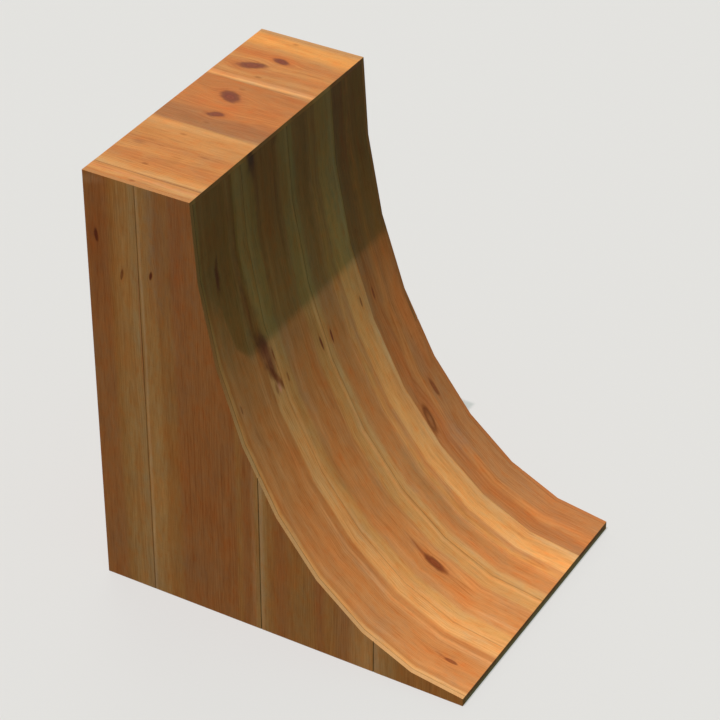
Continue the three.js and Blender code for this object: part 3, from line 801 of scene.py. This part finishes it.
for i in range(BOARDS_IN_A_ROW):
    node = f"running_board_{i + 1}"
    low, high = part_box(node)
    span = board_span(low.x - LEFT_X, high.x - LEFT_X, i, RUNNING_TONGUE)
    outline = board_outline(span, RUNNING_THICKNESS, RUNNING_TONGUE, RUNNING_BEVELS[i:i + 2])
    piece = plank(f"running_plank_{i + 1}", outline, range(FLATS + 1), place_running, measure_running)
    seed = RUNNING_SEED + i
    finishes = [
        pine(f"running_pine_{i + 1}{part}", span, RUNNING_JOINTS[i:i + 2], RUNNING_TONES[i], marks, seed, cut)
        for part, marks, cut in (("", RUNNING_KNOTS[i], None), ("_end", (), RUNNING_END))
    ]
    fit(piece, node, finishes)


# Deck boards
# Four pine boards, 18 mm thick, lie from the back to the edge of the riding face, where their ends
# are cut to its slope. They cover the ends of the back boards and of the running boards.

DECK_THICKNESS = 18 * MM
DECK_TONGUE = (7 * MM, 6 * MM)
DECK_BEVELS = (None, 1.1 * MM, 0.4 * MM, 0.4 * MM, None)
DECK_JOINTS = (0.0, 0.15, 0.0, 0.0, 0.0)
# How dark the deck boards' sawn ends are: end grain, with painted shade added like that at the top of the
# riding face below the front ends
DECK_END_GRAIN_AND_PAINTED_SHADE = 0.6
DECK_SEED = 23.0
CREAM = srgb(248, 184, 116)
CLAY = srgb(188, 124, 80)
APRICOT = srgb(205, 139, 74)
GOLD = srgb(231, 155, 75)
COPPER = srgb(196, 127, 66)
ORANGE = srgb(195, 121, 60)
GINGER = srgb(185, 117, 60)
TAN = srgb(190, 134, 80)
DECK_TONES = [
    [(0.018, COPPER), (0.040, WHEAT), (0.055, HONEY), (0.068, APRICOT), (0.078, TAN)],
    [(0.078, TAN), (0.088, OAT), (0.100, WHEAT), (0.125, APRICOT), (0.165, COPPER), (0.190, COPPER),
     (0.230, APRICOT), (0.280, COPPER), (0.340, APRICOT), (0.400, APRICOT), (0.440, WHEAT), (0.460, TAN)],
    [(0.460, TAN), (0.478, ROSE), (0.540, ROSE), (0.600, ORANGE), (0.720, ORANGE), (0.765, GINGER),
     (0.805, GINGER), (0.822, TAN)],
    [(0.822, TAN), (0.842, FLAX), (0.858, HONEY), (0.876, COPPER), (0.900, APRICOT), (0.940, ORANGE),
     (0.985, APRICOT), (1.040, ORANGE), (1.085, APRICOT), (1.125, GOLD), (1.180, GOLD), (1.201, WHEAT)],
]
DECK_END_TONES = [
    [(0.018, SAPWOOD), (0.030, SAPWOOD), (0.042, AMBER), (0.078, AMBER)],
    [(0.078, AMBER), (0.200, HONEY), (0.238, AMBER), (0.262, STRAW), (0.290, SAPWOOD), (0.385, STRAW),
     (0.415, HONEY), (0.460, AMBER)],
    [(0.460, AMBER), (0.500, AMBER), (0.570, HONEY), (0.600, STRAW), (0.640, SAPWOOD), (0.672, STRAW),
     (0.700, AMBER), (0.775, HONEY), (0.822, STRAW)],
    [(0.822, STRAW), (0.850, SAPWOOD), (0.960, CREAM), (0.972, HONEY), (0.985, RUST), (1.040, AMBER),
     (1.100, CLAY), (1.201, CLAY)],
]
DECK_KNOTS = [
    [stain(26, 196, 15, 34, PITCH_STAIN, 1.0)],
    [
        stain(148, 172, 16, 34, PITCH_STAIN, 1.0), stain(388, 178, 17, 34, PITCH_STAIN, 0.7),
        stain(190, 90, 130, 90, RED_STAIN, 0.5), stain(262, 405, 50, 80, RED_STAIN, 0.9),
        stain(210, 250, 90, 70, OLIVE_STAIN, 0.4), stain(268, 67, 40, 60, PLUM_STAIN, 0.25),
        stain(285, 330, 12, 60, LATEWOOD, 0.6), stain(236, 250, 10, 70, LATEWOOD, 0.5),
        stain(282, 150, 10, 60, LATEWOOD, 0.6), stain(340, 60, 110, 170, DULLER_TONE_AND_PAINTED_SHADE, 0.6),
    ],
    [
        stain(502, 204, 16, 34, PITCH_STAIN, 0.6), knot(570, 202, 32, 62, -20, 0.85),
        knot(708, 178, 58, 96, 28, 0.95), stain(774, 188, 16, 34, PITCH_STAIN, 0.6),
        stain(620, 90, 120, 120, RED_STAIN, 0.4), stain(630, 230, 60, 90, RED_STAIN, 0.6),
        stain(500, 130, 60, 140, OLIVE_STAIN, 0.4),
    ],
    [
        stain(884, 190, 16, 38, PITCH_STAIN, 0.9), knot(952, 122, 44, 112, -18, 0.92),
        knot(1030, 204, 32, 68, 9, 0.98), stain(1172, 182, 17, 34, PITCH_STAIN, 0.75),
        stain(920, 380, 100, 120, RED_STAIN, 0.35), stain(1147, 90, 60, 90, LIGHTER_TONE_AND_PAINTED_LIGHT, 0.6),
    ],
]
DECK_END_KNOTS = [[], [stain(396, 470, 56, 130, SMUDGE_STAIN, 1.0)], [], []]


def place_deck(across, depth, station):
    front = DECK_DEPTH + depth * SLOPES[0].x / -SLOPES[0].y
    return (LEFT_X + across, BACK_Y - station * front, TOP_Z - depth)


def measure_deck(point):
    return (point.x - LEFT_X, BACK_Y - point.y, TOP_Z - point.z)


for i in range(BOARDS_IN_A_ROW):
    node = f"deck_board_{i + 1}"
    low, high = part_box(node)
    span = board_span(low.x - LEFT_X, high.x - LEFT_X, i, DECK_TONGUE)
    outline = board_outline(span, DECK_THICKNESS, DECK_TONGUE, DECK_BEVELS[i:i + 2])
    piece = plank(f"deck_plank_{i + 1}", outline, (0, 1), place_deck, measure_deck)
    seed = DECK_SEED + i
    finishes = [
        pine(f"deck_pine_{i + 1}", span, DECK_JOINTS[i:i + 2], DECK_TONES[i], DECK_KNOTS[i], seed),
        pine(f"deck_pine_{i + 1}_end", span, (0, 0), DECK_END_TONES[i], DECK_END_KNOTS[i], seed, DECK_END_GRAIN_AND_PAINTED_SHADE),
    ]
    fit(piece, node, finishes)


# Side boards
# Four upright pine boards a side, 18 mm thick, tongued and grooved with a V at each joint and
# sawn to the ramp's outline. They stand on the floor, nailed to the ribs, and their sawn edges
# lie flush with the deck and the riding face.

SIDE_THICKNESS = 18 * MM
SIDE_TONGUE = (7 * MM, 6 * MM)
SIDE_BEVELS = (None, 1.2 * MM, 2.0 * MM, 2.0 * MM, None)
SIDE_JOINTS = (0.0, 0.25, 0.6, 0.65, 0.0)
SIDE_EDGE = 0.0
SIDE_SEEDS = {"left": 37.0, "right": 53.0}
BROWN = srgb(199, 128, 70)
RYE = srgb(197, 144, 88)
NUT = srgb(190, 130, 74)
SIDE_TONES = {
    "left": [
        [(0.000, BROWN), (0.085, BROWN), (0.112, APRICOT), (0.150, WHEAT), (0.180, WHEAT), (0.195, OAT),
         (0.212, OAT), (0.221, HONEY)],
        [(0.221, WHEAT), (0.228, BUFF), (0.240, WHEAT), (0.285, WHEAT), (0.305, APRICOT), (0.345, APRICOT),
         (0.375, BROWN), (0.600, BROWN), (0.620, APRICOT), (0.645, BROWN), (0.668, BROWN), (0.684, HONEY),
         (0.697, WHEAT), (0.707, WHEAT)],
        [(0.707, BUFF), (0.718, BUFF), (0.733, WHEAT), (0.750, APRICOT), (0.800, BROWN), (0.860, APRICOT),
         (0.930, APRICOT), (0.965, BROWN), (1.000, APRICOT), (1.070, TOFFEE), (1.120, STRAW),
         (1.175, FLAX), (1.190, STRAW), (1.201, WHEAT)],
        [(1.201, BUFF), (1.212, BUFF), (1.230, OAT), (1.260, WHEAT), (1.310, APRICOT), (1.582, APRICOT)],
    ],
    "right": [
        [(0.000, STRAW), (0.060, HONEY), (0.130, AMBER), (0.221, RUST)],
        [(0.221, HONEY), (0.260, AMBER), (0.380, RUST), (0.500, AMBER), (0.560, STRAW), (0.620, HONEY),
         (0.707, AMBER)],
        [(0.707, STRAW), (0.760, HONEY), (0.850, AMBER), (0.960, RUST), (1.080, AMBER), (1.150, HONEY),
         (1.201, SAPWOOD)],
        [(1.201, AMBER), (1.290, RUST), (1.400, AMBER), (1.500, HONEY), (1.582, STRAW)],
    ],
}
DIM_STAIN = (0.90, 0.83, 0.80, 1.0)
WARM_STAIN = (1.10, 1.00, 0.88, 1.0)
SAGE_STAIN = (1.00, 1.09, 1.16, 1.0)
PALE_STAIN = (1.15, 1.35, 1.80, 1.0)

# The sawn edges, from the back to the lip
SIDE_EDGE_TONES = {
    "left": [(0.000, NUT), (0.453, NUT), (0.457, AMBER), (0.540, AMBER), (0.640, BUFF), (1.582, BUFF)],
    "right": [(0.000, RYE), (0.453, RYE), (0.457, RUST), (1.582, RUST)],
}
SIDE_KNOTS = {
    "left": [
        [
            knot(45, 260, 15, 50, -4, 0.9), knot(148, 399, 11, 46, 10, 0.65),
            stain(40, 26, 120, 50, PALE_STAIN, 1.0, -15), stain(45, 300, 150, 800, DIM_STAIN, 1.0),
            stain(30, 240, 50, 130, PLUM_STAIN, 0.15), stain(155, 250, 100, 900, WARM_STAIN, 1.0),
            stain(112, 1330, 130, 1300, SAGE_STAIN, 0.9),
        ],
        [
            knot(275, 364, 12, 34, 12, 1.0), stain(350, 200, 250, 950, MAUVE_STAIN, 1.0),
            stain(300, 200, 80, 900, MAUVE_STAIN, 0.8), stain(500, 1300, 90, 500, RED_STAIN, 0.3),
            stain(405, 1250, 7, 1200, LATEWOOD, 0.5), stain(431, 1150, 6, 900, LATEWOOD, 0.5),
            stain(458, 1280, 8, 1000, LATEWOOD, 0.45), stain(547, 1300, 7, 800, LATEWOOD, 0.45),
            stain(340, 700, 7, 600, LATEWOOD, 0.4), stain(262, 1380, 150, 1200, LIGHTER_TONE_AND_PAINTED_LIGHT, 0.8),
        ],
        [stain(900, 1650, 160, 300, OLIVE_STAIN, 0.3), stain(960, 1500, 120, 500, MAUVE_STAIN, 0.5)],
        [stain(1470, 1700, 300, 500, WARM_STAIN, 1.0)],
    ],
    "right": [
        [knot(104, 980, 30, 46, 10, 0.8)],
        [knot(330, 480, 34, 60, -12, 0.85), knot(540, 1420, 22, 40, 6, 0.7)],
        [knot(930, 1610, 26, 42, -8, 0.75)],
        [],
    ],
}
CREASES = [corner.x for corner in CORNERS[:-1]]


def tones_between(tones, span):
    """The stops that lie on one board of a row, with the nearest tone at each of its edges."""
    start, end = span
    first = [tone for at, tone in tones if at <= start + MM][-1]
    last = [tone for at, tone in tones if at >= end - MM][0]
    return [(start, first), *(stop for stop in tones if start + MM < stop[0] < end - MM), (end, last)]


def creased(outline):
    """The end view with a corner added on both faces wherever the ramp's outline turns."""
    points, folds = [], {}
    for (across, depth), (next_across, next_depth) in zip(outline, outline[1:] + outline[:1]):
        points.append((across, depth))
        if depth != next_depth:
            continue
        between = [place for place in CREASES if min(across, next_across) < place < max(across, next_across)]
        for place in sorted(between, reverse=next_across < across):
            folds.setdefault(place, []).append(len(points))
            points.append((place, depth))
    return points, [pair for pair in folds.values() if len(pair) == 2]


def top_at(across):
    """The height of the ramp's outline at a distance from its back."""
    if across <= DECK_DEPTH:
        return TOP_Z
    for near, far in zip(CORNERS, CORNERS[1:]):
        if across <= far.x:
            return near.y + (far.y - near.y) * (across - near.x) / (far.x - near.x)
    return CORNERS[-1].y


def on_side(outer_x, inward):
    """How the boards of one side are placed, and how their points are measured."""

    def place(across, depth, station):
        return (outer_x + inward * depth, BACK_Y - across, station * top_at(across))

    def measure(point):
        return (BACK_Y - point.y, TOP_Z - point.z, abs(point.x - outer_x))

    return place, measure


for side, outer_x, inward in (("left", cad_low.x, 1), ("right", cad_high.x, -1)):
    place_side, measure_side = on_side(outer_x, inward)
    for i in range(BOARDS_IN_A_ROW):
        node = f"{side}_side_board_{i + 1}"
        low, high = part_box(node)
        span = board_span(BACK_Y - high.y, BACK_Y - low.y, i, SIDE_TONGUE)
        outline, folds = creased(board_outline(span, SIDE_THICKNESS, SIDE_TONGUE, SIDE_BEVELS[i:i + 2]))
        piece = plank(f"{side}_side_plank_{i + 1}", outline, (0, 1), place_side, measure_side, folds)
        seed = SIDE_SEEDS[side] + i
        name = f"{side}_side_pine_{i + 1}"
        face = pine(name, span, SIDE_JOINTS[i:i + 2], SIDE_TONES[side][i], SIDE_KNOTS[side][i], seed)
        tones = tones_between(SIDE_EDGE_TONES[side], span)
        fit(piece, node, [face, pine(name + "_edge", span, (0, 0), tones, (), seed, SIDE_EDGE)])


# Floor, light and camera
# A plain pale studio floor. It is drawn pale for the camera and for reflections, and throws
# little light back up under the boards.

FLOOR_HALF = 80.0
FLOOR_PALE = srgb(226, 225, 222)
FLOOR_BOUNCE = srgb(90, 90, 92)
FLOOR_EVENNESS = 0.65
FLOOR_DROP = 0.2 * MM


def seen_directly(tree):
    """1 where a camera, reflected or transmitted ray arrives, and 0 for the light that surfaces share."""
    path = tree.node("LightPath")
    names = ("Is Camera Ray", "Is Glossy Ray", "Is Transmission Ray")
    rays = [path.socket.node.outputs[name] for name in names]
    camera, glossy, transmitted = (Wire(tree.tree, ray) for ray in rays)
    return camera.math("MAXIMUM", camera.math("MAXIMUM", camera, glossy), transmitted)


def floor_paint():
    material, tree = blank("studio_floor")
    lit = tree.node("BsdfDiffuse", {}, {"Color": FLOOR_PALE})
    even = tree.node("Emission", {}, {"Color": FLOOR_PALE, "Strength": 1.0})
    pale = tree.node("MixShader", {}, {0: FLOOR_EVENNESS, 1: lit, 2: even})
    dark = tree.node("BsdfDiffuse", {}, {"Color": FLOOR_BOUNCE})
    surface = tree.node("MixShader", {}, {0: seen_directly(tree), 1: dark, 2: pale})
    tree.node("OutputMaterial", {}, {"Surface": surface})
    return material


sheet = bmesh.new()
bmesh.ops.create_grid(sheet, x_segments=1, y_segments=1, size=FLOOR_HALF)
floor_mesh = bpy.data.meshes.new("studio_floor")
sheet.to_mesh(floor_mesh)
sheet.free()
floor_mesh.materials.append(floor_paint())
floor = bpy.data.objects.new("studio_floor", floor_mesh)
floor.location.z = -FLOOR_DROP
bpy.context.scene.collection.objects.link(floor)

WHITE_SUN = math.pi
KEY_FROM = Vector((-0.256, 0.138, 0.957))
REAR_FROM = Vector((0.78, 0.58, 0.22))


def lamp(name, direction, strength, spread, colour, bounces):
    """A far lamp that gives a white surface facing it this share of white. spread is in degrees."""
    light = bpy.data.lights.new(name, "SUN")
    light.energy = strength * WHITE_SUN
    light.angle = math.radians(spread)
    light.color = colour
    light.cycles.max_bounces = bounces
    body = bpy.data.objects.new(name, light)
    body.rotation_euler = direction.to_track_quat("Z", "Y").to_euler()
    bpy.context.scene.collection.objects.link(body)


KEY_COLOUR = (1.0, 0.84, 0.89)
REAR_COLOUR = (1.0, 0.97, 0.93)
lamp("key_lamp", KEY_FROM, strength=0.81, spread=0.6, colour=KEY_COLOUR, bounces=0)
lamp("rear_lamp", REAR_FROM, strength=0.25, spread=50.0, colour=REAR_COLOUR, bounces=2)

SKY = (0.30, 0.50, 0.43, 1.0)
BACKDROP = (0.86, 0.86, 0.85, 1.0)
world = bpy.data.worlds.new("studio")
world.use_nodes = True
world.node_tree.nodes.clear()
air = Wire(world.node_tree)
height = air.node("TexCoord", {}, {}, "Generated").parts()[2]
overhead = air.node("Background", {}, {"Color": SKY, "Strength": height.math("MAXIMUM", height, 0.0)})
backdrop = air.node("Background", {}, {"Color": BACKDROP, "Strength": 1.0})
air.node("OutputWorld", {}, {
    "Surface": air.node("MixShader", {}, {0: seen_directly(air), 1: overhead, 2: backdrop}),
})
bpy.context.scene.world = world

VIEW_AZIMUTH = math.radians(-60)
VIEW_ELEVATION = math.radians(35)
VIEW_DISTANCE = 10.336
VIEW_TARGET = Vector((0.0, 0.0, 0.92))
LENS_MM = 136.4
SENSOR_WIDTH_MM = 36.0
camera_data = bpy.data.cameras.new("camera")
camera_data.lens = LENS_MM
camera_data.sensor_width = SENSOR_WIDTH_MM
camera = bpy.data.objects.new("camera", camera_data)
back = Vector((
    math.sin(VIEW_AZIMUTH) * math.cos(VIEW_ELEVATION),
    -math.cos(VIEW_AZIMUTH) * math.cos(VIEW_ELEVATION),
    math.sin(VIEW_ELEVATION),
))
camera.location = VIEW_TARGET + back * VIEW_DISTANCE
camera.rotation_euler = back.to_track_quat("Z", "Y").to_euler()
bpy.context.scene.collection.objects.link(camera)
bpy.context.scene.camera = camera
bpy.context.scene.view_settings.view_transform = "Standard"
